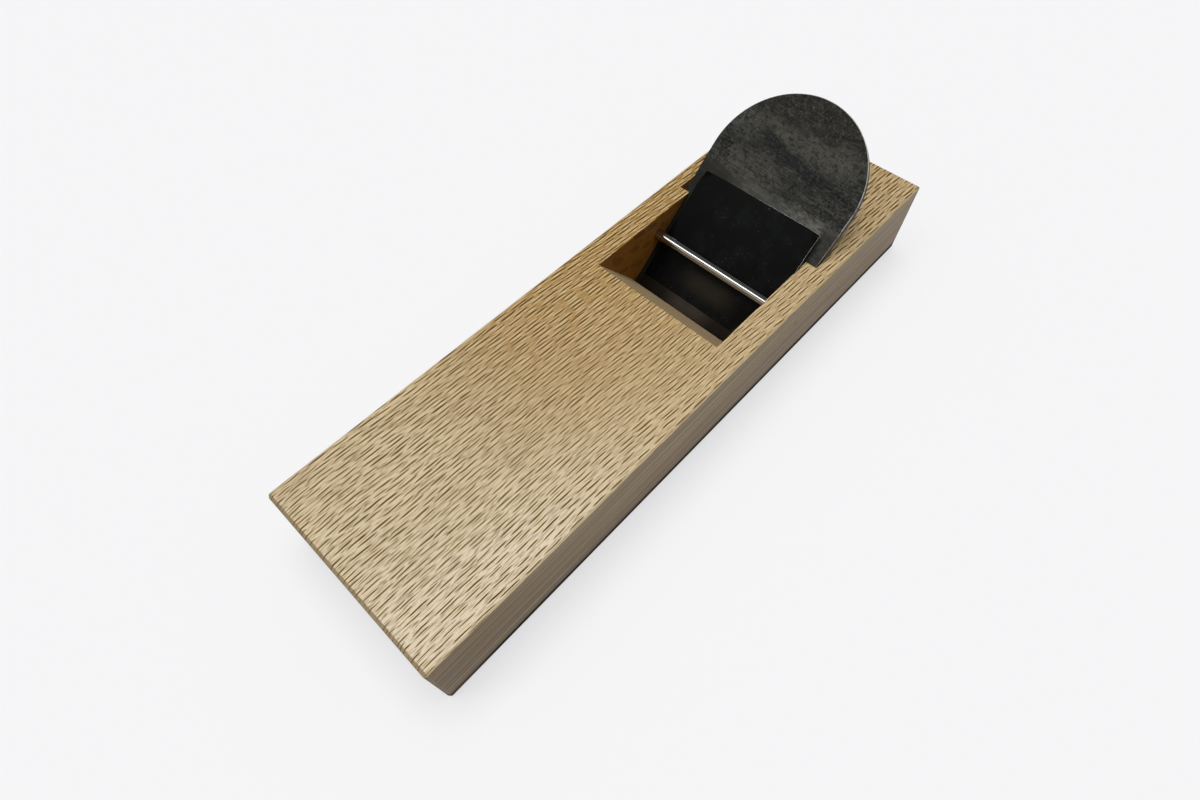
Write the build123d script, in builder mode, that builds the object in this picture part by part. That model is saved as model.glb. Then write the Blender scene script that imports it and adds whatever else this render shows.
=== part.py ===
from build123d import *
from math import asin, atan2, cos, degrees, hypot, radians, sin, sqrt, tan
import os

# A wooden pull plane: an oak block, a wedged blade, a chip breaker and a cross pin, in millimetres.
# The origin is the middle of the sole. +X is the way the plane is pulled, +Y is the puller's right
# hand and +Z is up. The blade leans back from the mouth at the bed angle.

# Oak block
body_length = 278.0
body_width = 84.0
body_height = 37.0
end_chamfer = 1.4
side_chamfer = 0.8
corner_chamfer = 1.0

# Throat, mouth and blade grooves in the block
bed_angle = 40.0
mouth_x = -23.1
mouth_gap = 1.0
nose_height = 10.5
front_wall_angle = 51.0
shaving_gap = 1.15
groove_depth = 5.0
groove_side_clearance = 1.1
groove_face_gap = 0.1
bed_gap = 0.1
wall_gap = 0.3

# Blade, of soft iron with a hard steel layer on its front face
blade_length = 114.5
blade_width = 68.8
blade_side_taper = 2.0
blade_thickness = 6.4
blade_wedge_angle = 0.5
blade_bevel_angle = 28.5
blade_corner_clip = 4.0
blade_head_chamfer = 3.0
blade_edge_height = 0.15
steel_length = 74.0
steel_thickness = 2.5
hollow_depth = 0.35
hollow_edge_rim = 7.0
hollow_side_rim = 3.5
hollow_top_rim = 12.0
hollow_corner_radius = 12.0

# Chip breaker, of soft iron with a hard steel layer at its edge
breaker_setback = 0.5
breaker_length = 68.0
breaker_cheek_clearance = 1.5
breaker_thickness = 2.4
breaker_ridge_thickness = 1.7
breaker_edge_thickness = 0.35
breaker_bevel_length = 17.1
breaker_land = 3.0
breaker_lift = 1.6
breaker_seat_gap = 0.05
breaker_ear = 6.5
breaker_steel_length = 25.0
breaker_steel_thickness = 1.0

# Cross pin
pin_diameter = 4.7
pin_up_blade = 35.3
pin_gap = 0.1
pin_fit = 0.02
pin_end_wall = 2.5
pin_end_inset = 0.5
pin_end_chamfer = 0.4

# How far cutting shapes run past the faces that they cut
overrun = 12.0

# Widths across the block, from the blade outwards and inwards
groove_width = blade_width + 2 * groove_side_clearance
throat_width = groove_width - 2 * groove_depth
breaker_width = throat_width - 2 * breaker_cheek_clearance

# Directions along and out of the blade's front face, and the middle of its cutting edge
along_blade = Vector(-cos(radians(bed_angle)), 0, sin(radians(bed_angle)))
out_of_face = Vector(sin(radians(bed_angle)), 0, cos(radians(bed_angle)))
edge_point = Vector(mouth_x - mouth_gap, 0, blade_edge_height)


def blade_point(up, out):
    """Point of the middle plane, from its distance up the blade's face and out of it."""
    return edge_point + along_blade * up + out_of_face * out


def side_plane(sideways):
    """Plane seen from the right, with X up the blade's face and Y out of it."""
    return Plane(blade_point(0, 0) + Vector(0, sideways, 0), x_dir=along_blade, z_dir=(0, 1, 0))


def face_plane(sideways):
    """Plane of the blade's front face, with X across the blade and Y up it."""
    return Plane(blade_point(0, 0) + Vector(0, sideways, 0), x_dir=(0, 1, 0), z_dir=out_of_face)


def outline(points, plane):
    """Flat face inside a closed line of straight runs."""
    with BuildSketch(plane) as face:
        with BuildLine():
            Polyline(*points, close=True)
        make_face()
    return face.sketch


# The blade and the chip breaker rest near the right-hand walls, with the same small gap
top_up_blade = (body_height - blade_edge_height) / sin(radians(bed_angle))
shoulder_up_blade = blade_length - blade_width / 2
blade_edge_half = blade_width / 2 - blade_side_taper
blade_half_at_top = blade_edge_half + blade_side_taper * top_up_blade / shoulder_up_blade
blade_shift = groove_width / 2 - blade_half_at_top - wall_gap
breaker_shift = breaker_cheek_clearance - wall_gap

# Chip breaker seen from the side: land, relieved underside, front face, ground bevel
breaker_top = breaker_setback + breaker_length
breaker_ridge = breaker_setback + breaker_bevel_length
land_end = breaker_setback + breaker_land
underside_slope = breaker_lift / (breaker_top - land_end)
ridge_out = breaker_seat_gap + underside_slope * (breaker_ridge - land_end) + breaker_ridge_thickness
top_out = breaker_seat_gap + breaker_lift + breaker_thickness
front_slope = (top_out - ridge_out) / (breaker_top - breaker_ridge)


def breaker_front_out(up):
    """How far the chip breaker's front face, drawn on past its ridge, stands off the blade."""
    return ridge_out + front_slope * (up - breaker_ridge)


# Cross pin just clear of the chip breaker's front face
pin_radius = pin_diameter / 2
pin_out = breaker_front_out(pin_up_blade) + (pin_gap + pin_radius) * hypot(1, front_slope)
pin_centre = blade_point(pin_up_blade, pin_out)
pin_hole_end = body_width / 2 - pin_end_wall

# Front wall of the throat: down to a nose, then back under it to the mouth
nose_above_edge = nose_height - blade_edge_height
nose_up_blade = nose_above_edge / sin(radians(bed_angle))
nose_out = breaker_front_out(max(nose_up_blade, breaker_ridge)) + shaving_gap
nose_x = edge_point.X + (nose_out - nose_above_edge * cos(radians(bed_angle))) / sin(radians(bed_angle))
throat_front_x = nose_x + (body_height - nose_height) / tan(radians(front_wall_angle))


def blade_back_out(up, gap=0.0):
    """How far behind its front face the blade's back lies, or a bed that clears it by a gap."""
    return -blade_thickness - up * tan(radians(blade_wedge_angle)) - gap


# Oak block: chamfered blank, throat, blade slot and pin hole
slot_low = -overrun
slot_high = top_up_blade + overrun
wall_lean = overrun / tan(radians(front_wall_angle))
throat_points = [
    (throat_front_x + wall_lean, body_height + overrun),
    (nose_x, nose_height),
    (mouth_x, 0),
    (mouth_x, -overrun),
    (blade_point(slot_low, -blade_thickness / 2).X, -overrun),
    (blade_point(0, -blade_thickness / 2).X, blade_point(0, -blade_thickness / 2).Z),
    (blade_point(slot_high, -blade_thickness / 2).X, blade_point(slot_high, -blade_thickness / 2).Z),
    (blade_point(slot_high, -blade_thickness / 2).X, body_height + overrun),
]
slot_points = [
    (slot_low, groove_face_gap),
    (slot_high, groove_face_gap),
    (slot_high, blade_back_out(slot_high, bed_gap)),
    (slot_low, blade_back_out(slot_low, bed_gap)),
]
pin_plane = Plane.XZ.offset(body_width / 2)

with BuildPart() as body_block:
    Box(body_length, body_width, body_height, align=(Align.CENTER, Align.CENTER, Align.MIN))
    chamfer(body_block.edges().filter_by(Axis.Y), end_chamfer)
    chamfer(body_block.edges().filter_by(Axis.X), side_chamfer)
    chamfer(body_block.edges().filter_by(Axis.Z), corner_chamfer)
    extrude(outline(throat_points, Plane.XZ), amount=throat_width / 2, both=True, mode=Mode.SUBTRACT)
    extrude(outline(slot_points, side_plane(0)), amount=groove_width / 2, both=True, mode=Mode.SUBTRACT)
    with BuildSketch(pin_plane):
        with Locations((pin_centre.X, pin_centre.Z)):
            Circle(pin_radius + pin_fit)
    extrude(amount=-(body_width / 2 + pin_hole_end), mode=Mode.SUBTRACT)

# Cross pin: driven in from the left face, blind in the right cheek
with BuildPart() as retaining_pin:
    with BuildSketch(pin_plane.offset(-pin_end_inset)):
        with Locations((pin_centre.X, pin_centre.Z)):
            Circle(pin_radius)
    extrude(amount=-(body_width / 2 + pin_hole_end - pin_end_inset))
    chamfer(retaining_pin.edges().filter_by(GeomType.CIRCLE), pin_end_chamfer)

# Blade blank: wedge with a ground bevel, tapered sides, clipped corners and a round head
bevel_run = blade_thickness / (tan(radians(blade_bevel_angle)) - tan(radians(blade_wedge_angle)))
blade_side_points = [
    (0, 0),
    (blade_length, 0),
    (blade_length, blade_back_out(blade_length)),
    (bevel_run, blade_back_out(bevel_run)),
]
shoulder = (blade_width / 2, shoulder_up_blade)
clip_half = blade_edge_half + blade_side_taper * blade_corner_clip / shoulder_up_blade

with BuildPart() as blade_blank:
    extrude(outline(blade_side_points, side_plane(blade_shift)), amount=blade_width, both=True)
    with BuildSketch(face_plane(blade_shift)):
        with BuildLine():
            Polyline(
                (-shoulder[0], shoulder[1]),
                (-clip_half, blade_corner_clip),
                (blade_corner_clip - blade_edge_half, 0),
                (blade_edge_half - blade_corner_clip, 0),
                (clip_half, blade_corner_clip),
                shoulder,
            )
            ThreePointArc(shoulder, (0, blade_length), (-shoulder[0], shoulder[1]))
        make_face()
    extrude(amount=-2 * blade_thickness, mode=Mode.INTERSECT)
    back_face = blade_blank.faces().sort_by(Axis(edge_point, out_of_face))[0]
    chamfer(back_face.edges().sort_by(Axis(edge_point, along_blade))[-1], blade_head_chamfer)

steel_zone = outline(
    [
        (-overrun, overrun),
        (steel_length, overrun),
        (steel_length, -steel_thickness),
        (-overrun, -steel_thickness),
    ],
    side_plane(blade_shift),
)

with BuildPart() as blade_iron:
    add(blade_blank.part)
    extrude(steel_zone, amount=blade_width, both=True, mode=Mode.SUBTRACT)

# Steel layer of the blade, ground hollow so that only its rim has to be lapped flat
hollow_width = 2 * (blade_edge_half - blade_corner_clip - hollow_side_rim)
hollow_length = steel_length - hollow_edge_rim - hollow_top_rim

with BuildPart() as blade_steel:
    add(blade_blank.part)
    extrude(steel_zone, amount=blade_width, both=True, mode=Mode.INTERSECT)
    with BuildSketch(face_plane(blade_shift)):
        with Locations((0, hollow_edge_rim + hollow_length / 2)):
            RectangleRounded(hollow_width, hollow_length, hollow_corner_radius)
    extrude(amount=-hollow_depth, mode=Mode.SUBTRACT)

# Chip breaker blank: plate with clipped top corners, and an ear bent back to the blade at each
breaker_side_points = [
    (breaker_setback, breaker_seat_gap),
    (land_end, breaker_seat_gap),
    (breaker_top, breaker_seat_gap + breaker_lift),
    (breaker_top, top_out),
    (breaker_ridge, ridge_out),
    (breaker_setback, breaker_seat_gap + breaker_edge_thickness),
]
front_normal = (out_of_face - along_blade * front_slope).normalized()
front_up = (along_blade + out_of_face * front_slope).normalized()
front_top = blade_point(breaker_top, top_out) + Vector(0, breaker_shift, 0)
front_plane = Plane(front_top, x_dir=(0, 1, 0), z_dir=front_normal)
breaker_half = breaker_width / 2
plate_points = [
    (-breaker_half, -breaker_length - overrun),
    (breaker_half, -breaker_length - overrun),
    (breaker_half, -breaker_ear),
    (breaker_half - breaker_ear, 0),
    (breaker_ear - breaker_half, 0),
    (-breaker_half, -breaker_ear),
]

# The ear turns about its fold line until its tip meets the blade's face
ear_rise = breaker_ear / sqrt(2)
fold_out = top_out - front_slope * breaker_ear / 2
ear_reach = (fold_out - breaker_seat_gap) / hypot(ear_rise, breaker_thickness)
ear_angle = asin(ear_reach) - atan2(breaker_thickness, ear_rise)
ear_points = [(-ear_rise, 0), (ear_rise, 0), (0, ear_rise)]


def ear_plane(side):
    """Front plane of the bent ear on the right, side 1, or the left, side -1."""
    across = Vector(0, side, 0)
    outward = (across + front_up).normalized()
    fold_middle = front_top + across * (breaker_half - breaker_ear / 2) - front_up * breaker_ear / 2
    bent_normal = front_normal * cos(ear_angle) + outward * sin(ear_angle)
    return Plane(fold_middle, x_dir=outward.cross(front_normal), z_dir=bent_normal)


with BuildPart() as breaker_blank:
    extrude(outline(breaker_side_points, side_plane(breaker_shift)), amount=breaker_width, both=True)
    extrude(outline(plate_points, front_plane), amount=overrun, both=True, mode=Mode.INTERSECT)
    for side in (1, -1):
        extrude(outline(ear_points, ear_plane(side)), amount=-breaker_thickness)

breaker_steel_end = breaker_setback + breaker_steel_length
breaker_steel_zone = outline(
    [
        (breaker_setback - overrun, -overrun),
        (breaker_steel_end, -overrun),
        (breaker_steel_end, breaker_seat_gap + breaker_steel_thickness),
        (breaker_setback - overrun, breaker_seat_gap + breaker_steel_thickness),
    ],
    side_plane(breaker_shift),
)

with BuildPart() as chip_breaker_iron:
    add(breaker_blank.part)
    extrude(breaker_steel_zone, amount=breaker_width, both=True, mode=Mode.SUBTRACT)

with BuildPart() as chip_breaker_steel:
    add(breaker_blank.part)
    extrude(breaker_steel_zone, amount=breaker_width, both=True, mode=Mode.INTERSECT)

# One file for each piece, named as the piece is
pieces = {
    "body_block": body_block,
    "retaining_pin": retaining_pin,
    "blade_iron": blade_iron,
    "blade_steel": blade_steel,
    "chip_breaker_iron": chip_breaker_iron,
    "chip_breaker_steel": chip_breaker_steel,
}
os.makedirs("parts", exist_ok=True)
for name, piece in pieces.items():
    piece.part.label = name
    export_step(piece.part, f"parts/{name}.step")
print(f"throat front {throat_front_x:.2f}, nose {nose_x:.2f}, ear angle {degrees(ear_angle):.1f}")
print(f"blade shift {blade_shift:.2f}, chip breaker shift {breaker_shift:.2f}, pin out {pin_out:.2f}")
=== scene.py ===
"""Looks of a wooden pull plane: oak block, forged blade, chip breaker and cross pin.

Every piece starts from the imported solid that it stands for, gets broken edges and surface relief,
and is dressed in a procedural finish that reads the piece's own coordinates.
"""

from __future__ import annotations

import logging
import math
from dataclasses import dataclass
from enum import Enum
from typing import Callable, Dict, List, NamedTuple, Optional, Sequence, Tuple, Union

import bmesh
import bpy
from mathutils import Matrix, Vector, noise


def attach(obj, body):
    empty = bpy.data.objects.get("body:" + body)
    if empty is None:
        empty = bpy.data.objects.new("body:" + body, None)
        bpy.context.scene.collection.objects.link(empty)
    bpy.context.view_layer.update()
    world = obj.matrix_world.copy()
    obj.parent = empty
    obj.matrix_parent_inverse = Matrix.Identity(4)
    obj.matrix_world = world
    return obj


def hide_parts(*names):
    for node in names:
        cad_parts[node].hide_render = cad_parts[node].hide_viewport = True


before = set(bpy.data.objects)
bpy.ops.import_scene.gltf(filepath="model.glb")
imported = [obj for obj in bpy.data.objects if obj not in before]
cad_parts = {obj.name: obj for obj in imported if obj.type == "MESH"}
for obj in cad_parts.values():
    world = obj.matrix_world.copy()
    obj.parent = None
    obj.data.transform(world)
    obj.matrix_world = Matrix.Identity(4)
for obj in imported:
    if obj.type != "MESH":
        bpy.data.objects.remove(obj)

LOG = logging.getLogger("pull_plane")
MM = 0.001

Colour = Tuple[float, float, float, float]
Term = Union["Sock", float, int, Sequence[float]]
Pair = Tuple[float, float]
Pick = Callable[[Vector], bool]


class Body(Enum):
    """The bodies that pieces ride on."""

    BLOCK = "block"
    BLADE = "blade"
    BREAKER = "chip_breaker"


class Slot(Enum):
    """Names of the pieces' material slots; they are passed to the pieces, and nothing reads them.
    """

    OAK = "oak"
    PIN = "pin_steel"
    FORGED = "forged_iron"
    EDGE = "blade_steel"
    BLACKED = "breaker_iron"
    BREAKER_EDGE = "breaker_steel"


def paint(red: int, green: int, blue: int) -> Colour:
    """Turns a display colour into a linear one.

    Args:
        red: red, from 0 to 255.
        green: green, from 0 to 255.
        blue: blue, from 0 to 255.

    Returns:
        The linear colour with an alpha of one.
    """
    linear = []
    for part in (red, green, blue):
        share = part / 255.0
        if share <= 0.04045:
            linear.append(share / 12.92)
        else:
            linear.append(((share + 0.055) / 1.055) ** 2.4)
    return (linear[0], linear[1], linear[2], 1.0)


def clamp(value: float) -> float:
    """Keeps a value between 0 and 1."""
    return min(1.0, max(0.0, value))


class Sock:
    """One output of a shader node. Arithmetic on it adds Math nodes."""

    def __init__(self, shader: "Shader", socket: Optional[bpy.types.NodeSocket]) -> None:
        """Wraps a socket of a shader's node, or none where the node ends the tree."""
        self.shader = shader
        self.socket = socket

    def other(self, name: Union[str, int]) -> "Sock":
        """Another output of the same node."""
        return Sock(self.shader, self.socket.node.outputs[name])

    def _math(self, operation: str, left: Term, right: Term = 0.0) -> "Sock":
        """Adds one Math node on two terms."""
        return self.shader.node("ShaderNodeMath", {"operation": operation}, {0: left, 1: right})

    def __add__(self, term: Term) -> "Sock":
        """Sum."""
        return self._math("ADD", self, term)

    def __radd__(self, term: Term) -> "Sock":
        """Sum, from the right."""
        return self._math("ADD", term, self)

    def __sub__(self, term: Term) -> "Sock":
        """Difference."""
        return self._math("SUBTRACT", self, term)

    def __rsub__(self, term: Term) -> "Sock":
        """Difference, from the right."""
        return self._math("SUBTRACT", term, self)

    def __mul__(self, term: Term) -> "Sock":
        """Product."""
        return self._math("MULTIPLY", self, term)

    def __rmul__(self, term: Term) -> "Sock":
        """Product, from the right."""
        return self._math("MULTIPLY", term, self)

    def __truediv__(self, term: Term) -> "Sock":
        """Quotient."""
        return self._math("DIVIDE", self, term)

    def __rtruediv__(self, term: Term) -> "Sock":
        """Quotient, from the right."""
        return self._math("DIVIDE", term, self)

    def __pow__(self, term: Term) -> "Sock":
        """Power."""
        return self._math("POWER", self, term)

    def __abs__(self) -> "Sock":
        """Size without sign."""
        return self._math("ABSOLUTE", self)

    def root(self) -> "Sock":
        """Square root."""
        return self._math("SQRT", self)

    def highest(self, term: Term) -> "Sock":
        """The larger of two values."""
        return self._math("MAXIMUM", self, term)

    def saw(self) -> "Sock":
        """The part after the decimal point."""
        return self._math("FRACT", self)

    def floor(self) -> "Sock":
        """The whole number below."""
        return self._math("FLOOR", self)

    def rise(self, low: float, high: float) -> "Sock":
        """Smooth step from 0 at low to 1 at high, falling where low is the larger.

        Args:
            low: the value that gives 0.
            high: the value that gives 1.

        Returns:
            The step as a value from 0 to 1.
        """
        settings = {"interpolation_type": "SMOOTHSTEP"}
        sockets = {"Value": self, "From Min": low, "From Max": high}
        return self.shader.node("ShaderNodeMapRange", settings, sockets)


def oval(first: Sock, second: Sock, middle: Pair, half: Pair) -> Sock:
    """An oval spot on two coordinates.

    Args:
        first: the first coordinate.
        second: the second coordinate.
        middle: the oval's middle on both.
        half: half of its size on both.

    Returns:
        A value that is 0 in the middle and 1 on the rim.
    """
    return ((first - middle[0]) / half[0]) ** 2.0 + ((second - middle[1]) / half[1]) ** 2.0


class Shader:
    """Builds the node tree of one procedural material, or of the sky."""

    def __init__(self, holder: Union[bpy.types.Material, bpy.types.World]) -> None:
        """Starts an empty tree.

        Args:
            holder: the new material or world that gets it.
        """
        self.holder = holder
        self.holder.use_nodes = True
        self.tree = self.holder.node_tree
        self.tree.nodes.clear()

    def node(
        self,
        kind: str,
        settings: Optional[Dict[str, object]] = None,
        sockets: Optional[Dict[Union[str, int], Term]] = None,
        output: Union[str, int] = 0,
    ) -> Sock:
        """Adds a node.

        Args:
            kind: the node's type.
            settings: its properties, set first.
            sockets: the value or link of each input, by name or number.
            output: the output that is wanted.

        Returns:
            That output.
        """
        made = self.tree.nodes.new(kind)
        for key, value in (settings or {}).items():
            setattr(made, key, value)
        for key, value in (sockets or {}).items():
            if isinstance(value, Sock):
                self.tree.links.new(value.socket, made.inputs[key])
            else:
                made.inputs[key].default_value = value
        return Sock(self, made.outputs[output] if len(made.outputs) else None)

    def split(self, vector: Sock) -> Tuple[Sock, Sock, Sock]:
        """The three parts of a vector."""
        first = self.node("ShaderNodeSeparateXYZ", None, {0: vector})
        return first, first.other(1), first.other(2)

    def vector(self, x: Term, y: Term, z: Term) -> Sock:
        """A vector from three values."""
        return self.node("ShaderNodeCombineXYZ", None, {0: x, 1: y, 2: z})

    def axes(self) -> Tuple[Sock, Sock, Sock]:
        """The piece's own coordinates.

        Returns:
            The three of them, in millimetres.
        """
        place = self.node("ShaderNodeTexCoord", output="Object")
        sockets = {0: place, "Scale": 1.0 / MM}
        return self.split(self.node("ShaderNodeVectorMath", {"operation": "SCALE"}, sockets))

    def cloud(
        self, place: Sock, detail: float, roughness: float = 0.5, scale: float = 1.0
    ) -> Sock:
        """Fractal noise.

        Args:
            place: where it is read.
            detail: how many octaves.
            roughness: how strong the fine octaves are.
            scale: how fine the first octave is.

        Returns:
            A value around 0.5.
        """
        sockets = {"Vector": place, "Scale": scale, "Detail": detail, "Roughness": roughness}
        return self.node("ShaderNodeTexNoise", None, sockets)

    def cells(self, place: Sock, scale: float, dimensions: str = "3D") -> Sock:
        """Scattered points.

        Args:
            place: where they are read.
            scale: how close they lie.
            dimensions: 2D or 3D.

        Returns:
            The distance to the nearest point.
        """
        settings = {"voronoi_dimensions": dimensions, "feature": "F1"}
        sockets = {"Vector": place, "Scale": scale, "Randomness": 1.0}
        return self.node("ShaderNodeTexVoronoi", settings, sockets, "Distance")

    def blend(self, share: Term, first: Term, second: Term) -> Sock:
        """Mixes two colours.

        Args:
            share: how much of the second.
            first: the first colour.
            second: the second colour.

        Returns:
            The mixed colour.
        """
        settings = {"data_type": "RGBA", "blend_type": "MIX", "clamp_factor": True}
        return self.node("ShaderNodeMix", settings, {0: share, 6: first, 7: second}, 2)

    def wear(self) -> Sock:
        """The rounded edges of a piece, from its own attribute, which the finishes use for wear and
        for painted edge highlights.
        """
        return self.node("ShaderNodeAttribute", {"attribute_name": PieceMesh.WEAR}, None, "Fac")

    def bump(self, height: Sock, depth: float, strength: float) -> Sock:
        """A normal from a height.

        Args:
            height: the height, about 0 to 1.
            depth: what 1 stands for, in millimetres.
            strength: how much of it is used.

        Returns:
            The normal.
        """
        sockets = {"Strength": strength, "Distance": depth * MM, "Height": height}
        return self.node("ShaderNodeBump", None, sockets)

    def surface(self, sockets: Dict[str, Term]) -> bpy.types.Material:
        """Ends the tree in a principled surface.

        Args:
            sockets: the values and links of the principled shader.

        Returns:
            The finished material.
        """
        skin = self.node("ShaderNodeBsdfPrincipled", None, sockets)
        self.node("ShaderNodeOutputMaterial", None, {"Surface": skin})
        return self.holder


class BladeFrame:
    """The blade's own frame: up the blade, across it, and out of its face."""

    ANGLE = math.radians(40.0)
    RUN = math.cos(ANGLE)
    RISE = math.sin(ANGLE)
    EDGE = Vector((-24.1, 0.0, 0.15))

    @classmethod
    def matrix(cls) -> Matrix:
        """The way from the blade's frame to the shared one.

        Returns:
            The matrix, in metres.
        """
        up = Vector((-cls.RUN, 0.0, cls.RISE))
        out = Vector((cls.RISE, 0.0, cls.RUN))
        across = out.cross(up)
        turn = Matrix((up, across, out)).transposed()
        return Matrix.Translation(cls.EDGE * MM) @ turn.to_4x4()

    @classmethod
    def climb(cls, x: Sock, z: Sock) -> Sock:
        """How far a point lies up the blade from its edge, in millimetres."""
        return (z - cls.EDGE.z) * cls.RISE - (x - cls.EDGE.x) * cls.RUN

    @classmethod
    def above_face(cls, x: Sock, z: Sock) -> Sock:
        """How high a point lies above the blade's face, in millimetres."""
        return z + (x - cls.EDGE.x) * (cls.RISE / cls.RUN)


class OakGrain(NamedTuple):
    """What the face, the sides and the ends of the oak share at a point."""

    x: Sock
    y: Sock
    z: Sock
    across: Sock
    dark: Sock
    lip_highlight: Sock
    grown: Sock
    early: Sock
    fibre: Sock


@dataclass(frozen=True)
class OakFinish:
    """Planed bare oak: ray flecks on the face, ring lines on the sides, pores on the ends."""

    pale: Colour = paint(202, 177, 131)
    tan: Colour = paint(188, 161, 115)
    amber: Colour = paint(168, 130, 70)
    fleck: Colour = paint(64, 42, 4)
    vein: Colour = paint(100, 69, 18)
    streak: Colour = paint(216, 196, 154)
    pale_fibre_and_highlight: Colour = paint(228, 208, 164)
    sheen_pale: Colour = paint(232, 216, 190)
    flank: Colour = paint(194, 163, 108)
    line: Colour = paint(132, 101, 57)
    shaded_cheek: Colour = paint(156, 101, 32)
    cut: Colour = paint(154, 134, 105)
    contact_shade: Colour = paint(20, 13, 8)
    ring_width: float = 2.6
    heart_aside: float = 12.0
    heart_height: float = 210.0
    slant: float = 0.06
    straight: float = 125.0
    curve: float = 0.00026
    fleck_cell: float = 9.6
    fleck_row: float = 1.68
    fleck_half: float = 0.215
    hair_cell: float = 7.0
    hair_row: float = 1.3
    hair_half: float = 0.14
    hair_shift: Pair = (31.0, 7.3)
    pore: float = 0.42
    spot_middle: Pair = (-49.0, 25.0)
    spot_half: Pair = (1.5, 0.75)
    relief: float = 0.1

    @staticmethod
    def flecks(
        along: Sock, across: Sock, cell: float, row: float, thick: Term
    ) -> Tuple[Sock, Sock]:
        """Tapered ray flecks in staggered rows, one in each cell.

        Args:
            along: the way along the grain, in millimetres.
            across: the way across the rays, in millimetres.
            cell: a cell's length along the grain.
            row: a row's width across it.
            thick: half of a fleck's width.

        Returns:
            The flecks' depth from 0 to 1, and the painted highlights along both their sides.
        """
        shader = along.shader
        rows = across / row
        number = rows.floor()
        start = shader.node("ShaderNodeTexWhiteNoise", {"noise_dimensions": "1D"}, {"W": number})
        cells = along / cell + number * 0.5 + start * 0.4
        seed = {"Vector": shader.vector(cells.floor(), number, 0.0)}
        drawn = shader.node("ShaderNodeTexWhiteNoise", {"noise_dimensions": "2D"}, seed, "Color")
        size, depth, shift = shader.split(drawn)
        reach = size * 0.17 + 0.29
        ahead = (cells.saw() - 0.5 + (shift - 0.5) * (1.0 - reach * 2.0)) / reach
        aside = abs(rows.saw() - 0.5 + (depth - 0.5) * 0.5) * row
        half = (size * 0.2 + 0.9) * thick
        taper = ahead ** 4.0
        lens = taper + aside / half
        # Painted highlight: a pale line along each side of the fleck.
        lip_highlight = taper + abs(aside - half * 2.1) / (half * 1.3)
        dark = lens.rise(1.15, 0.75) * (shift * 0.15 + 0.85)
        return dark, lip_highlight.rise(1.0, 0.3)

    def grain(self, shader: Shader) -> OakGrain:
        """Lays the grain: it curves over the front half and drifts a little everywhere.

        Args:
            shader: the oak's node tree.

        Returns:
            The coordinates, flecks, rings and fibres.
        """
        x, y, z = shader.axes()
        drift = shader.cloud(shader.vector(x / 70.0, y / 24.0, z / 24.0), 2.0) - 0.5
        ripple = shader.cloud(shader.vector(x / 8.0, y / 3.5, z / 9.0), 3.0) - 0.5
        front = x.highest(0.0)
        bend = (x - front) * self.slant - (front - self.straight) ** 2.0 * self.curve
        across = y + drift * 4.0 + ripple * 0.7 + bend
        fan = across * (z * 0.005 + 0.81)
        half = self.fleck_half + y.rise(38.0, -40.0) * 0.07 + x.rise(70.0, 10.0) * 0.035
        half = half + x.rise(-60.0, -115.0) * 0.09 - x.rise(95.0, 130.0) * 0.025
        dark, lip_highlight = self.flecks(x, fan, self.fleck_cell, self.fleck_row, half)
        ahead = x + self.hair_shift[0]
        aside = fan + self.hair_shift[1]
        hair, gleam = self.flecks(ahead, aside, self.hair_cell, self.hair_row, self.hair_half)
        heart = (y - self.heart_aside) ** 2.0 + (z - self.heart_height) ** 2.0
        grown = (heart.root() / self.ring_width + drift * 1.6).saw()
        return OakGrain(
            x,
            y,
            z,
            across,
            dark=dark.highest(hair * 0.36),
            lip_highlight=lip_highlight.highest(gleam * 0.4),
            grown=grown,
            early=grown.rise(0.0, 0.25) * grown.rise(1.0, 0.55),
            fibre=shader.cloud(shader.vector(x / 4.0, across / 0.55, z / 0.55), 3.0, 0.65),
        )

    def face(self, shader: Shader, grain: OakGrain) -> Sock:
        """The planed top and sole: amber to the rear, paled to the front by a painted sheen, with
        flecks and painted highlights beside them.

        Args:
            shader: the oak's node tree.
            grain: the grain that it shares.

        Returns:
            The colour.
        """
        x, y, fibre = grain.x, grain.y, grain.fibre
        broad = shader.cloud(shader.vector(x / 60.0, grain.across / 14.0, grain.z / 14.0), 3.0)
        face = shader.blend(broad.rise(0.3, 0.7), self.pale, self.tan)
        rear_left = x.rise(110.0, -20.0) * y.rise(36.0, -50.0)
        middle = x.rise(95.0, 60.0) * x.rise(10.0, 40.0) * y.rise(38.0, 0.0)
        glow = rear_left * 0.62 + x.rise(110.0, 35.0) * 0.42 + x.rise(-60.0, -110.0) * 0.15
        face = shader.blend(glow + middle * 0.28, face, self.amber)
        # Painted sheen: the face pales towards the front and the right, most at the front right
        # corner.
        front_right_sheen = x.rise(60.0, 95.0) * y.rise(20.0, 40.0)
        painted_sheen = x.rise(-20.0, 150.0) * (y.rise(-70.0, 46.0) * 0.6 + 0.4)
        painted_sheen = painted_sheen * 0.95 + y.rise(0.0, 46.0) * 0.25 + front_right_sheen * 0.25
        face = shader.blend(painted_sheen, face, self.sheen_pale)
        lined = 0.6 + x.rise(40.0, 95.0) * y.rise(44.0, 14.0) * 0.3
        face = shader.blend(fibre.rise(0.45, 0.68) * lined, face, self.line)
        face = shader.blend(fibre.rise(0.5, 0.28) * 0.6, face, self.pale_fibre_and_highlight)
        # Painted highlights along both sides of each fleck.
        face = shader.blend(grain.lip_highlight * (0.6 + x.rise(40.0, 90.0) * 0.25), face, self.pale_fibre_and_highlight)
        ink = shader.blend(x.rise(20.0, 90.0), self.vein, self.fleck)
        return shader.blend(grain.dark, face, ink)

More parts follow.
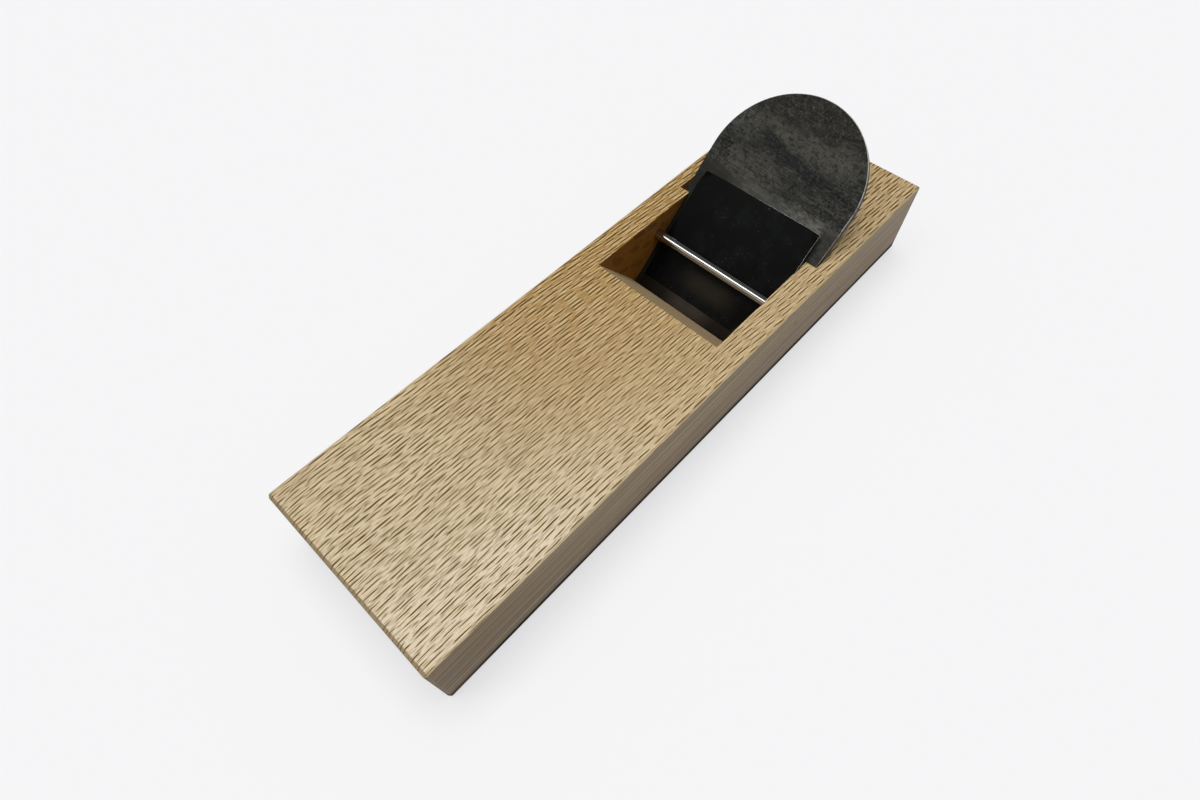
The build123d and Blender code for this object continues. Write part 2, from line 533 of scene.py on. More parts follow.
    def side(self, shader: Shader, grain: OakGrain) -> Sock:
        """The sides and the throat's cheeks, with fine lines along them.

        Args:
            shader: the oak's node tree.
            grain: the grain that it shares.

        Returns:
            The colour.
        """
        x, y, z = grain.x, grain.y, grain.z
        thread = shader.cloud(shader.vector(x / 120.0, y / 30.0, z / 0.5), 3.0, 0.7)
        # Painted shade: the sides darken towards the bottom and towards the front end.
        dim = z.rise(18.0, 2.0) * 0.2 + x.rise(70.0, 139.0) * 0.3
        lined = grain.early * 0.3 + thread.rise(0.43, 0.55) * 0.75 + dim
        # Painted light: the sides pale high up towards the rear.
        upper_light = z.rise(16.0, 34.0) * x.rise(130.0, 70.0)
        spot = oval(x, z, self.spot_middle, self.spot_half).rise(1.3, 0.3) * y.rise(40.0, 41.0)
        inside = abs(y).rise(39.0, 36.0)
        side = shader.blend(lined, self.flank, self.line)
        coats = (
            (thread.rise(0.54, 0.62) * 0.3, self.fleck),
            (thread.rise(0.46, 0.36) * 0.55 + upper_light * 0.2, self.streak),
            (grain.fibre.rise(0.5, 0.8) * 0.12, self.fleck),
            (spot * 0.55, self.fleck),
            # painted shade, darker still just above the bottom of the sides
            (z.rise(7.0, 4.0) * 0.3, self.contact_shade),
            (x.rise(-60.0, -130.0) * 0.2, self.amber),
            # painted shade: the throat's inner cheeks take a darker, more saturated copy of the
            # side colour
            (inside * 0.85, self.shaded_cheek),
            (grain.dark * inside * 0.35, self.fleck),
        )
        for share, colour in coats:
            side = shader.blend(share, side, colour)
        return side

    def end(self, shader: Shader, grain: OakGrain) -> Tuple[Sock, Sock]:
        """The end grain, with open pores in the early wood.

        Args:
            shader: the oak's node tree.
            grain: the grain that it shares.

        Returns:
            The colour, and the pores' depth from 0 to 1.
        """
        x, z = grain.x, grain.z
        place = shader.vector(grain.y / self.pore, z / self.pore, 0.0)
        pores = shader.cells(place, 1.0, "2D").rise(0.35, 0.1)
        # Painted light: the throat's front wall pales a little.
        front_wall_light = x.rise(0.0, -6.0) * x.rise(-70.0, -60.0)
        end = shader.blend(grain.early * 0.35, self.cut, self.line)
        end = shader.blend(front_wall_light * 0.18, end, self.streak)
        end = shader.blend(pores * grain.grown.rise(0.65, 0.0) * 0.6, end, self.fleck)
        end = shader.blend(grain.dark * z.rise(34.0, 35.5) * 0.7, end, self.fleck)
        return end, pores

    def material(self) -> bpy.types.Material:
        """Builds the oak: face, sides and ends, arrises with wear and painted highlights, and a
        painted contact shadow along the bottom.

        Returns:
            The material.
        """
        shader = Shader(bpy.data.materials.new("planed_oak"))
        grain = self.grain(shader)
        x, y, z = grain.x, grain.y, grain.z
        facing = shader.node("ShaderNodeNewGeometry", output="True Normal")
        on_end, on_side, on_face = (abs(part) for part in shader.split(facing))
        on_arris = on_side.rise(0.5, 0.68)
        on_side = on_side.rise(0.72, 0.95)
        on_end = on_end.rise(0.45, 0.8)
        on_face = on_face.rise(0.55, 0.8)

        face = self.face(shader, grain)
        side = self.side(shader, grain)
        end, pores = self.end(shader, grain)
        wood = shader.blend(on_side.highest(on_arris * 0.2), face, side)
        # Painted highlight: the chamfer between the top and a side pales.
        top_arris_highlight = on_arris * (1.0 - on_side) * z.rise(30.0, 35.0)
        wood = shader.blend(top_arris_highlight * 0.45, wood, self.streak)
        wood = shader.blend(on_end, wood, end)
        wood = shader.blend(on_end * on_face * 0.2, wood, self.streak)
        # The rounded edges of the end faces pale: wear, and a painted highlight along them.
        worn_and_highlit = shader.wear() * on_end * (1.0 - on_side)
        wood = shader.blend(worn_and_highlit * 0.65, wood, self.streak)
        # Painted contact shadow: the lowest few millimetres of the sides and their chamfers turn
        # near-black and matt, most on the right side and away from the front corner.
        foot_shade = z.rise(5.0, 2.4) * on_side.highest(on_arris) * (y.rise(-20.0, 20.0) * 0.7 + 0.3)
        foot_shade = foot_shade * (0.5 + x.rise(138.0, 112.0) * 0.45)
        wood = shader.blend(foot_shade, wood, self.contact_shade)
        sunk = grain.dark * on_face
        height = 0.5 + grain.fibre * 0.12 - sunk * 0.45 - pores * on_end * 0.4
        return shader.surface(
            {
                "Base Color": wood,
                "Roughness": 0.34 + grain.fibre * 0.1 + sunk * 0.3 + on_end * 0.2 + foot_shade * 0.6,
                "Specular IOR Level": 0.12,
                "Normal": shader.bump(height, self.relief, 0.5),
            }
        )


class ForgePlace(NamedTuple):
    """Where a point of the blade lies, and the noise that its marks share."""

    x: Sock
    y: Sock
    z: Sock
    up: Sock
    place: Sock
    blotch: Sock
    cloud: Sock
    speck: Sock
    scuff: Sock


@dataclass(frozen=True)
class ForgeScale:
    """Forge scale on the blade: mottled near-black grey, pitted in patches, with wear and a painted
    highlight at the rim.
    """

    name: str = "forge_scale"
    dark: Colour = paint(24, 24, 23)
    mid: Colour = paint(56, 56, 52)
    light: Colour = paint(90, 89, 82)
    brown: Colour = paint(42, 39, 32)
    blue: Colour = paint(19, 23, 26)
    pit: Colour = paint(8, 8, 7)
    rim: Colour = paint(206, 204, 196)
    ground: Colour = paint(98, 97, 89)
    line: Colour = paint(56, 56, 51)
    weld: float = 72.6
    shine_middle: Pair = (95.5, 17.0)
    shine_half: Pair = (5.0, 9.0)
    smudge_middle: Pair = (-27.5, 82.5)
    smudge_half: Pair = (3.0, 2.4)
    relief: float = 0.16

    @staticmethod
    def point(shader: Shader) -> ForgePlace:
        """Reads a point's place up the blade and the noise there.

        Args:
            shader: the blade's node tree.

        Returns:
            The place and the noise.
        """
        x, y, z = shader.axes()
        up = BladeFrame.climb(x, z)
        place = shader.vector(up, y, z * 0.4)
        smoke = shader.vector(up + y * 0.25, y * 0.5 - up * 0.12, z * 0.4)
        slanted = shader.vector(up + y * 0.4, y * 0.6 - up * 0.3, z)
        return ForgePlace(
            x,
            y,
            z,
            up,
            place,
            blotch=shader.cloud(smoke, 5.0, 0.6, 1.0 / 11.0),
            cloud=shader.cloud(smoke, 6.0, 0.68, 1.0 / 5.0),
            speck=shader.cloud(place, 4.0, 0.75, 1.0),
            scuff=shader.cloud(slanted, 4.0, 0.7, 1.0 / 1.5),
        )

    def tones(self, shader: Shader, at: ForgePlace) -> Sock:
        """The broad pale, brown and blue patches of the scale.

        Args:
            shader: the blade's node tree.
            at: the point.

        Returns:
            The colour.
        """
        up, y, cloud = at.up, at.y, at.cloud
        stray = cloud - 0.5
        wide = at.blotch - 0.5
        grit = (at.speck - 0.5) * 2.5
        level = up + wide * 18.0 + stray * 16.0 + grit
        aside = y + stray * 22.0 + grit
        tone = at.blotch * 0.5 + cloud * 0.5
        pale = level.rise(88.0, 96.0) * level.rise(104.0, 98.0)
        lower_left = level.rise(86.0, 82.0) * aside.rise(7.0, -1.0) * aside.rise(-29.0, -21.0)
        pale = pale.highest(lower_left) * (cloud.rise(0.34, 0.62) * 0.45 + 0.2)
        shine = oval(up, y, self.shine_middle, self.shine_half) + stray * 3.0
        band = abs(up + wide * 9.0 + stray * 9.0 + y * 0.16 - 88.5).rise(5.5, 2.0)
        band = band * aside.rise(34.0, 24.0) * aside.rise(-20.0, -8.0)
        dusk = level.rise(86.0, 82.0) * level.rise(79.0, 82.0)
        dusk = dusk * aside.rise(2.0, 9.0) * aside.rise(32.0, 22.0)
        smudge = oval(y, up, self.smudge_middle, self.smudge_half) + stray * 1.6
        skin = shader.blend(tone.rise(0.31, 0.55), self.dark, self.mid)
        coats = (
            (pale, self.light),
            (shine.rise(1.6, 0.3) * 0.5, self.light),
            (level.rise(99.0, 103.0) * 0.75, self.brown),
            (band * 0.85, self.blue),
            (dusk * 0.35, self.dark),
            (smudge.rise(1.3, 0.7) * 0.9, self.pit),
        )
        for share, colour in coats:
            skin = shader.blend(share, skin, colour)
        return skin

    def marks(self, shader: Shader, at: ForgePlace, skin: Sock) -> Tuple[Sock, Sock]:
        """Mottles, scuffs, flakes, brush lines, pits and scratches over the patches.

        Args:
            shader: the blade's node tree.
            at: the point.
            skin: the colour of the patches.

        Returns:
            The marked colour, and the pits' depth from 0 to 1.
        """
        up, y, z = at.up, at.y, at.z
        spread = shader.vector(up + y * 0.25, y * 0.7, z * 0.4 + 3.0)
        mottle = shader.cloud(spread, 5.0, 0.72, 1.0 / 3.2)
        flake = shader.cloud(shader.vector(up, y, z * 0.4 + 7.0), 5.0, 0.75, 1.0 / 2.0)
        brushed = shader.cloud(shader.vector((up + y * 0.06) / 0.4, y / 7.0, z), 3.0, 0.6)
        scratch = shader.cloud(shader.vector((up + y * 0.3) / 0.3, y / 10.0, z), 2.0, 0.5)
        rough = abs(y).rise(10.0, 26.0).highest(up.rise(98.0, 106.0)) * 0.4 + 0.45
        low = up.rise(90.0, 76.0) * 0.4 + 0.25
        patch = shader.cloud(at.place, 2.0, 0.5, 1.0 / 11.0).rise(0.55, 0.66) * 0.6
        corner = y.rise(8.0, 20.0) * up.rise(84.0, 77.0) * up.rise(70.5, 73.0)
        patch = patch.highest(corner * at.cloud.rise(0.35, 0.5))
        pits = shader.cells(at.place, 1.0 / 1.5).rise(0.42, 0.15) * patch
        coats = (
            (mottle.rise(0.53, 0.61) * 0.6, self.dark),
            (mottle.rise(0.45, 0.36) * 0.4, self.light),
            (at.speck.rise(0.52, 0.68) * rough, self.light),
            (at.speck.rise(0.48, 0.32) * rough, self.dark),
            (at.scuff.rise(0.56, 0.61) * 0.7, self.dark),
            (at.scuff.rise(0.40, 0.34) * 0.5, self.light),
            (flake.rise(0.58, 0.61) * 0.8, self.pit),
            (flake.rise(0.37, 0.33) * 0.5, self.light),
            (brushed.rise(0.52, 0.66) * low, self.light),
            (brushed.rise(0.48, 0.34) * low, self.dark),
            (pits * 0.85, self.pit),
            (scratch.rise(0.66, 0.78) * 0.35, self.light),
        )
        for share, colour in coats:
            skin = shader.blend(share, skin, colour)
        return skin, pits

    def bare(self, shader: Shader, at: ForgePlace) -> Tuple[Sock, Sock]:
        """The ground steel below the weld, darker towards the left, with painted shade beside the
        chip breaker and under it.

        Args:
            shader: the blade's node tree.
            at: the point.

        Returns:
            The colour, and the grinding lines.
        """
        up, y = at.up, at.y
        lines = shader.cloud(shader.vector(up / 0.35, y / 26.0, at.z / 9.0), 3.0, 0.6)
        # Darker towards the left, and painted shade beside the chip breaker's side and under its
        # lower end.
        painted_shade = y.rise(-8.0, -30.0) * 0.6
        painted_shade = painted_shade.highest(y.rise(27.0, 30.5) * up.rise(74.0, 70.0))
        painted_shade = painted_shade.highest(up.rise(69.0, 67.0))
        bare = shader.blend(lines.rise(0.3, 0.7) * 0.5, self.ground, self.line)
        coats = (
            (at.cloud.rise(0.40, 0.60) * 0.6, self.line),
            (at.speck.rise(0.5, 0.75) * 0.4, self.dark),
            (y.rise(0.0, 18.0) * at.scuff.rise(0.58, 0.46) * 0.12, self.rim),
            (y.rise(-6.0, -20.0) * 0.8, self.brown),
            (painted_shade * 0.75, self.dark),
        )
        for share, colour in coats:
            bare = shader.blend(share, bare, colour)
        return bare, lines

    def material(self) -> bpy.types.Material:
        """Builds the scale, which gives way to ground steel below the weld.

        Returns:
            The material.
        """
        shader = Shader(bpy.data.materials.new(self.name))
        at = self.point(shader)
        skin, pits = self.marks(shader, at, self.tones(shader, at))
        bare, lines = self.bare(shader, at)
        cleaned = (at.up + at.cloud * 9.0 - 4.5).rise(self.weld + 1.5, self.weld - 2.0)
        cleaned = cleaned * BladeFrame.above_face(at.x, at.z).rise(-4.0, -2.6)
        skin = shader.blend(cleaned, skin, bare)
        # The rounded rim pales, most towards one side: wear and a painted highlight.
        worn_and_highlit = shader.wear() * (at.cloud.rise(0.34, 0.54) * 0.8 + 0.2) * at.y.rise(-34.0, 20.0)
        skin = shader.blend(worn_and_highlit, skin, self.rim)
        height = at.cloud * 0.5 + at.speck * 0.3 - pits * 0.6 + lines * cleaned * 0.2
        return shader.surface(
            {
                "Base Color": skin,
                "Metallic": 0.1 + worn_and_highlit * 0.2 + cleaned * 0.1,
                "Roughness": 0.5 + at.cloud * 0.2 - worn_and_highlit * 0.25 - cleaned * 0.12,
                "Specular IOR Level": 0.3,
                "Normal": shader.bump(height, self.relief, 0.8),
            }
        )


@dataclass(frozen=True)
class GroundSteel:
    """Ground edge steel with fine lines across it."""

    name: str
    light: Colour
    dark: Colour
    rim: Colour = paint(190, 188, 180)
    roughness: float = 0.36
    metallic: float = 0.75
    relief: float = 0.03

    def material(self) -> bpy.types.Material:
        """Builds the steel.

        Returns:
            The material.
        """
        shader = Shader(bpy.data.materials.new(self.name))
        x, y, z = shader.axes()
        up = z * BladeFrame.RISE - x * BladeFrame.RUN
        lines = shader.cloud(shader.vector(up / 0.3, y / 30.0, z / 8.0), 3.0, 0.6)
        stain = shader.cloud(shader.vector(up, y, z), 4.0, 0.6, 1.0 / 6.0)
        skin = shader.blend(lines * 0.5 + stain * 0.5, self.dark, self.light)
        skin = shader.blend(stain.rise(0.55, 0.75) * 0.5, skin, self.dark)
        worn_and_highlit = shader.wear() * stain.rise(0.35, 0.6)
        skin = shader.blend(worn_and_highlit, skin, self.rim)
        return shader.surface(
            {
                "Base Color": skin,
                "Metallic": self.metallic,
                "Roughness": self.roughness + lines * 0.12 + stain * 0.1 - worn_and_highlit * 0.1,
                "Normal": shader.bump(lines + stain * 0.5, self.relief, 0.5),
            }
        )


@dataclass(frozen=True)
class BlackedIron:
    """Smooth blackened iron of the chip breaker, bare on its ground bevel, with wear and painted
    highlights at its edges and painted shade to its left.
    """

    black: Colour = paint(9, 9, 8)
    sheen: Colour = paint(18, 20, 21)
    brown: Colour = paint(46, 42, 32)
    painted_shade: Colour = paint(3, 3, 3)
    scratch: Colour = paint(104, 104, 98)
    rim: Colour = paint(222, 222, 215)
    ground: Colour = paint(92, 85, 77)
    line: Colour = paint(36, 32, 28)
    ridge: float = 17.45
    relief: float = 0.08

    def material(self) -> bpy.types.Material:
        """Builds the blackened iron.

        Returns:
            The material.
        """
        shader = Shader(bpy.data.materials.new("blackened_iron"))
        x, y, z = shader.axes()
        up = BladeFrame.climb(x, z)
        place = shader.vector(up, y, z * 0.3)
        cloud = shader.cloud(place, 4.0, 0.6, 1.0 / 9.0)
        fine = shader.cloud(place, 3.0, 0.65, 1.0 / 0.9)
        first = shader.vector((up + y * 0.7) / 0.22, (up - y) / 9.0, z)
        second = shader.vector((up - y * 0.45) / 0.25, (up + y) / 7.0, z)
        marks = shader.cloud(first, 2.0, 0.5).rise(0.68, 0.80)
        marks = marks.highest(shader.cloud(second, 2.0, 0.5).rise(0.69, 0.82))
        marks = marks * cloud.rise(0.38, 0.55)
        dust = shader.cells(place, 1.0 / 3.4).rise(0.11, 0.05)
        stain = abs(y - 3.0).rise(18.0, 4.0) * up.rise(33.0, 29.0) * up.rise(19.0, 26.0)
        skin = shader.blend(cloud.rise(0.42, 0.66), self.black, self.sheen)
        skin = shader.blend(marks * 0.8, skin, self.scratch)
        skin = shader.blend(dust * fine.rise(0.5, 0.62) * 0.4, skin, self.scratch)
        # Painted shade: the plate darkens towards its left, where the sheen falls off.
        skin = shader.blend(y.rise(-4.0, -22.0) * 0.7, skin, self.painted_shade)
        skin = shader.blend(stain * 0.75, skin, self.brown)
        lines = shader.cloud(shader.vector(up / 0.3, y / 24.0, z / 8.0), 3.0, 0.6)
        bare = shader.blend(lines * 0.6 + cloud * 0.4, self.line, self.ground)
        bare = shader.blend(abs(y + 1.0).rise(4.0, 15.0) * 0.9, bare, self.line)
        ground = up.rise(self.ridge + 0.15, self.ridge - 0.15)
        skin = shader.blend(ground, skin, bare)
        # The rounded edges pale on one half only: wear and a painted highlight.
        worn_and_highlit = cloud.rise(0.25, 0.45) * y.rise(-12.0, 14.0) * 0.95 + 0.05
        worn_and_highlit = shader.wear() * worn_and_highlit * (1.0 - ground)
        skin = shader.blend(worn_and_highlit, skin, self.rim)
        height = cloud * 0.6 + fine * 0.12 - marks * 0.2
        return shader.surface(
            {
                "Base Color": skin,
                "Metallic": worn_and_highlit * 0.2 + ground * 0.7,
                "Roughness": 0.24 + cloud * 0.12 + fine * 0.06 + ground * 0.1,
                "Specular IOR Level": 0.06,
                "Normal": shader.bump(height, self.relief, 0.5),
            }
        )


@dataclass(frozen=True)
class PolishedPin:
    """Polished steel of the cross pin, with faint lines along it and sawn ends."""

    bright: Colour = paint(206, 204, 200)
    dull: Colour = paint(176, 174, 170)
    sawn: Colour = paint(112, 109, 104)
    turned: Colour = paint(146, 143, 138)
    end_at: float = 41.3
    relief: float = 0.01

    def material(self) -> bpy.types.Material:
        """Builds the polished steel.

        Returns:
            The material.
        """
        shader = Shader(bpy.data.materials.new("polished_pin"))
        x, y, z = shader.axes()
        lines = shader.cloud(shader.vector(x / 0.35, y / 14.0, z / 0.35), 3.0, 0.6)
        smear = shader.cloud(shader.vector(x, y, z), 3.0, 0.6, 1.0 / 5.0)
        rings = shader.cloud(shader.vector(x / 0.9, y, z / 0.25), 3.0, 0.6)
        end = abs(y).rise(self.end_at - 0.1, self.end_at)
        skin = shader.blend(lines.rise(0.35, 0.7), self.bright, self.dull)
        cut = shader.blend(rings.rise(0.35, 0.65), self.sawn, self.turned)
        return shader.surface(
            {
                "Base Color": shader.blend(end, skin, cut),
                "Metallic": 1.0 - end * 0.6,
                "Roughness": 0.05 + lines * 0.04 + smear * 0.03 + end * 0.3,
                "Normal": shader.bump(lines, self.relief, 0.15),
            }
        )


class PieceMesh:
    """The mesh of one piece, started from the solid that it stands for."""

    WEAR = "wear"
    WELD = 1e-6
    TOUCH = 1e-7
    FLAT = math.radians(0.35)
    SHARP = math.radians(24.0)
    CREASE = math.radians(50.0)

    def __init__(self, node: str) -> None:
        """Copies a solid's mesh, merged and with its flat faces joined.

        Args:
            node: the solid's name.
        """
        self.node = node
        self.mesh = bmesh.new()
        self.mesh.from_mesh(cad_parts[node].data)
        bmesh.ops.remove_doubles(self.mesh, verts=self.mesh.verts[:], dist=self.WELD)
        bmesh.ops.dissolve_limit(
            self.mesh,
            angle_limit=self.FLAT,
            use_dissolve_boundaries=False,
            verts=self.mesh.verts[:],
            edges=self.mesh.edges[:],
        )
        self.worn_and_highlit = self.mesh.loops.layers.float.new(self.WEAR)

    def turned(self, matrix: Matrix) -> "PieceMesh":
        """Moves the mesh to another frame and returns itself."""
        bmesh.ops.transform(self.mesh, matrix=matrix, verts=self.mesh.verts[:])
        return self

    def soften(self, width: float, segments: int, chosen: Optional[Pick] = None) -> "PieceMesh":
        """Rounds the sharp edges and marks the rounds in the wear attribute, which stands for wear
        and painted edge highlights.

        Args:
            width: the round's width in millimetres.
            segments: how many facets it has.
            chosen: says of a point, in millimetres, whether edges from such points are rounded.

        Returns:
            The mesh itself.
        """
        edges = []
        for edge in self.mesh.edges:
            sharp = edge.is_manifold and edge.calc_face_angle(0.0) > self.SHARP
            if sharp and (chosen is None or any(chosen(v.co / MM) for v in edge.verts)):
                edges.append(edge)
        made = bmesh.ops.bevel(
            self.mesh,
            geom=edges,
            offset=width * MM,
            offset_type="OFFSET",
            segments=segments,
            profile=0.5,
            affect="EDGES",
            clamp_overlap=True,
            material=-1,
        )
        for face in made["faces"]:
            for loop in face.loops:
                loop[self.worn_and_highlit] = 1.0
        return self

    def slice(self, axis: Vector, low: float, high: float, step: float) -> "PieceMesh":
        """Cuts the faces by parallel planes, so that relief has points to move.

        Args:
            axis: the way from one plane to the next.
            low: where the first plane is, in millimetres.
            high: where the planes end.
            step: the distance between them.

        Returns:
            The mesh itself.
        """
        for count in range(int((high - low) / step) + 1):
            bmesh.ops.bisect_plane(
                self.mesh,
                geom=self.mesh.verts[:] + self.mesh.edges[:] + self.mesh.faces[:],
                dist=self.TOUCH,
                plane_co=axis * ((low + count * step) * MM),
                plane_no=axis,
            )
        return self

    def press(self, depth: Callable[[Vector], float]) -> "PieceMesh":
        """Presses the surface in, never out.

        Args:
            depth: how deep each point goes, in millimetres, from its place in millimetres.

        Returns:
            The mesh itself.
        """
        self.mesh.normal_update()
        for vert in self.mesh.verts:
            vert.co -= vert.normal * (max(0.0, depth(vert.co / MM)) * MM)
        return self

    def piece(
        self, name: str, body: Body, slot: Slot, skin: bpy.types.Material
    ) -> bpy.types.Object:
        """Makes the object that stands for the solid.

        Args:
            name: the piece's name.
            body: the body that it rides on.
            slot: not used.
            skin: its material.

        Returns:
            The object.
        """
        data = bpy.data.meshes.new(name)
        for face in self.mesh.faces:
            face.smooth = True
        for edge in self.mesh.edges:
            edge.smooth = edge.calc_face_angle(math.pi) < self.CREASE
        self.mesh.to_mesh(data)
        self.mesh.free()
        data.materials.append(skin)
        made = bpy.data.objects.new(name, data)
        bpy.context.scene.collection.objects.link(made)
        firm = made.modifiers.new("even_shading", "WEIGHTED_NORMAL")
        firm.keep_sharp = True
        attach(made, body.value)
        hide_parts(self.node)
        return made


@dataclass
class OakBlock:
    """The block with its throat, grooves and pin hole."""

    arris: float = 0.22
    finish: OakFinish = OakFinish()

    def build(self) -> List[bpy.types.Object]:
        """Builds and dresses the block."""
        mesh = PieceMesh("body_block").soften(self.arris, 2)
        return [mesh.piece("oak_block", Body.BLOCK, Slot.OAK, self.finish.material())]


@dataclass
class CrossPin:
    """The polished pin across the throat."""

    edge_round: float = 0.15
    finish: PolishedPin = PolishedPin()

    def build(self) -> List[bpy.types.Object]:
        """Builds and dresses the pin."""
        mesh = PieceMesh("retaining_pin").soften(self.edge_round, 2)
        return [mesh.piece("cross_pin", Body.BLOCK, Slot.PIN, self.finish.material())]


@dataclass
class Blade:
    """The forged blade with its welded layer of edge steel."""

    rim_round: float = 0.35
    steel_round: float = 0.12
    cut_step: float = 1.6
    length: float = 116.0
    half_width: float = 38.0
    steel_top: float = 74.0
    steel_depth: float = 2.6
    relief: float = 0.16
    broad_dent: float = 11.0
    small_dent: float = 3.6
    small_shift: Vector = Vector((9.0, 2.0, 5.0))
    small_share: float = 0.25
    weld_gap: float = 1.0
    weld_fade: float = 4.0
    depth_fade: float = 1.5
    iron_margin: float = 0.05
    steel_margin: float = 0.1
    face_depth: float = 0.6
    scale: ForgeScale = ForgeScale()
    steel: ForgeScale = ForgeScale("welded_edge_steel")

    def hammered(self, place: Vector) -> float:
        """How deep the forging left a point.

        Args:
            place: the point in the blade's frame, in millimetres.

        Returns:
            The depth in millimetres, and none where the edge steel is welded on.
        """
        broad = 0.5 + 0.5 * noise.noise(place / self.broad_dent)
        small = 0.5 + 0.5 * noise.noise(place / self.small_dent + self.small_shift)
        dent = (1.0 - self.small_share) * broad + self.small_share * small
        past_weld = clamp((place.x - self.steel_top - self.weld_gap) / self.weld_fade)
        below_weld = clamp((-place.z - self.steel_depth) / self.depth_fade)
        return self.relief * dent * max(past_weld, below_weld)

    def off_weld(self, place: Vector) -> bool:
        """Whether a point of the iron lies away from the welded steel."""
        return place.x > self.steel_top + self.iron_margin or place.z < -self.steel_depth

    def on_steel_face(self, place: Vector) -> bool:
        """Whether a point of the steel lies on its open face, below the weld's end."""
        return place.z > -self.face_depth and place.x < self.steel_top - self.steel_margin

    def build(self) -> List[bpy.types.Object]:
        """Builds and dresses the blade.

        Returns:
            The forged iron and the edge steel.
        """
        to_shared = BladeFrame.matrix()
        iron = PieceMesh("blade_iron").turned(to_shared.inverted())
        iron.soften(self.rim_round, 3, self.off_weld)
        iron.slice(Vector((1.0, 0.0, 0.0)), self.cut_step, self.length, self.cut_step)
        iron.slice(Vector((0.0, 1.0, 0.0)), -self.half_width, self.half_width, self.cut_step)
        iron.press(self.hammered).turned(to_shared)
        edge = PieceMesh("blade_steel").turned(to_shared.inverted())
        edge.soften(self.steel_round, 2, self.on_steel_face).turned(to_shared)
        return [
            iron.piece("forged_blade", Body.BLADE, Slot.FORGED, self.scale.material()),
            edge.piece("edge_steel", Body.BLADE, Slot.EDGE, self.steel.material()),
        ]


@dataclass
class ChipBreaker:
    """The chip breaker with its bent ears and welded edge."""

    plate_round: float = 0.5
    steel_top: float = 26.0
    steel_depth: float = 1.2
    plate: BlackedIron = BlackedIron()
    steel: GroundSteel = GroundSteel(
        "ground_breaker_steel", light=paint(84, 79, 72), dark=paint(52, 48, 44)
    )

    def off_weld(self, place: Vector) -> bool:
        """Whether a point of the plate lies away from the welded steel."""
        return place.x > self.steel_top or place.z > self.steel_depth

    def build(self) -> List[bpy.types.Object]:
        """Builds and dresses the chip breaker.

        Returns:
            The plate and the edge steel.
        """
        to_shared = BladeFrame.matrix()
        plate = PieceMesh("chip_breaker_iron").turned(to_shared.inverted())
        plate.soften(self.plate_round, 3, self.off_weld).turned(to_shared)
        edge = PieceMesh("chip_breaker_steel")
        return [
            plate.piece("breaker_plate", Body.BREAKER, Slot.BLACKED, self.plate.material()),
            edge.piece("breaker_edge", Body.BREAKER, Slot.BREAKER_EDGE, self.steel.material()),
        ]


